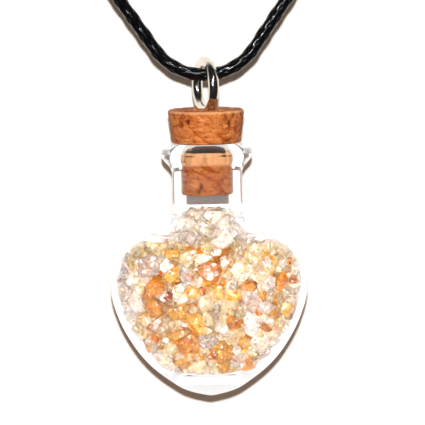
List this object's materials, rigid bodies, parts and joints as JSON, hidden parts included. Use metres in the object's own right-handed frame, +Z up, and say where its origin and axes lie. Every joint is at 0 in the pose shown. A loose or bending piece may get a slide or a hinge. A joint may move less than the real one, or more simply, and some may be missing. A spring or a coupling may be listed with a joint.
{
  "type": "bottle pendant necklace",
  "caption": "Corked heart-shaped glass bottle filled with pale and amber stone chips, hanging by a screw eye from a closed loop of black waxed cord.",
  "frame": {"origin": "middle of the clasp at the nape, from which the necklace hangs", "axes": "+X across the front, +Y from the front to the back, +Z up"},
  "size_m": [0.1306, 0.0116, 0.2026],
  "materials": {
    "waxed_cotton": "round black cord, waxed, with small glints",
    "clasp_metal": "polished nickel plate",
    "nickel": "polished nickel plate",
    "cork": "natural cork, matte, pitted",
    "clear_glass": "clear, fire polished",
    "quartz": "tumbled, milky to clear",
    "citrine": "tumbled, translucent amber"
  },
  "bodies": {
    "cord": {"neck_cord": "waxed_cotton", "barrel_clasp": "clasp_metal"},
    "pendant": {"screw_eye": "nickel", "cork_stopper": "cork", "glass_bottle": "clear_glass", "quartz_chips": "quartz", "citrine_chips": "citrine"}
  },
  "joints": [
    {"name": "pendant_swing", "type": "hinge", "parent": "cord", "child": "pendant", "pos_m": [0, 0, -0.1643], "axis": [1, 0, 0], "range_deg": [-90, 90]}
  ]
}
